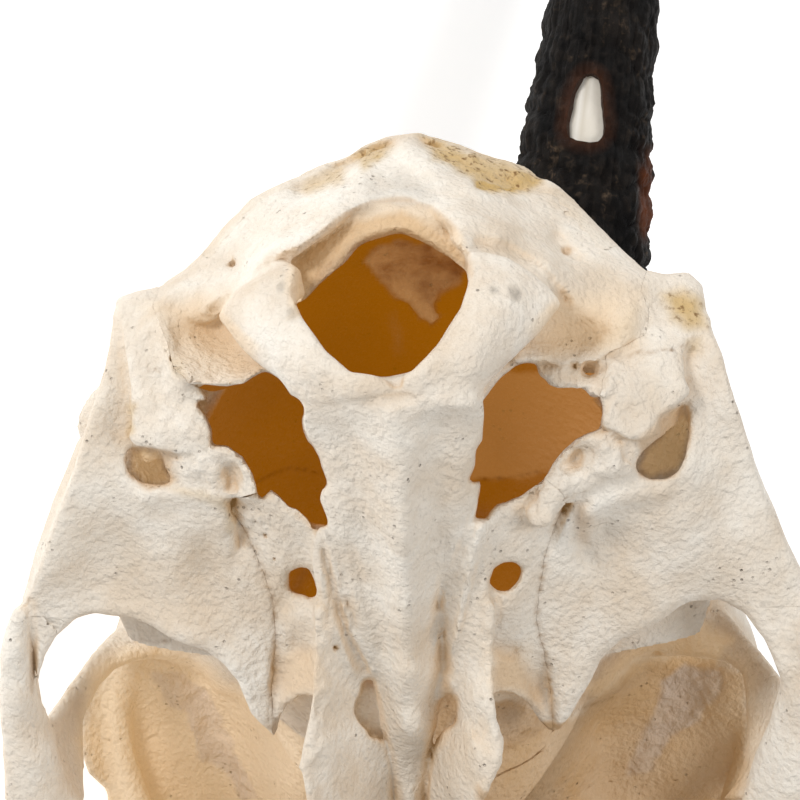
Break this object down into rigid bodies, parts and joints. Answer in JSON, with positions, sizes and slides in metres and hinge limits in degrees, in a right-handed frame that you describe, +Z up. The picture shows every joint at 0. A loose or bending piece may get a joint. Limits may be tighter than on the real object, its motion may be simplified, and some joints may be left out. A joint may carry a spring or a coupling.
{
  "type": "common duiker skull",
  "caption": "Weathered cranium of a small horned antelope without its lower jaw, lying upturned on brow, nose and its one remaining black horn.",
  "frame": {"origin": "middle of the base of the bounding box, on the floor under the skull as it lies upturned", "axes": "+X along the longest extent, which runs from the back of the skull to its nose; +Y away from the viewer, to the skull's right side; +Z up from the floor"},
  "size_m": [0.218, 0.1052, 0.0853],
  "materials": {
    "bone": "dry weathered bone, matt, warm white",
    "stained_bone": "dry bone stained ochre by soil, matt",
    "horn": "black horn, wrinkled at the base and faintly striated, satin"
  },
  "bodies": {
    "root": {"frontal_left": "bone", "frontal_right": "bone", "horn_sheath_right": "horn", "jugal_left": "bone", "jugal_right": "bone", "lacrimal_left": "bone", "lacrimal_right": "bone", "maxilla_left": "bone", "maxilla_right": "bone", "nasal_left": "bone", "nasal_right": "bone", "occipital": "bone", "palatine_left": "stained_bone", "palatine_right": "stained_bone", "parietal": "stained_bone", "premaxilla_left": "bone", "premaxilla_right": "bone", "sphenoid": "bone", "temporal_left": "bone", "temporal_right": "bone"}
  },
  "joints": []
}
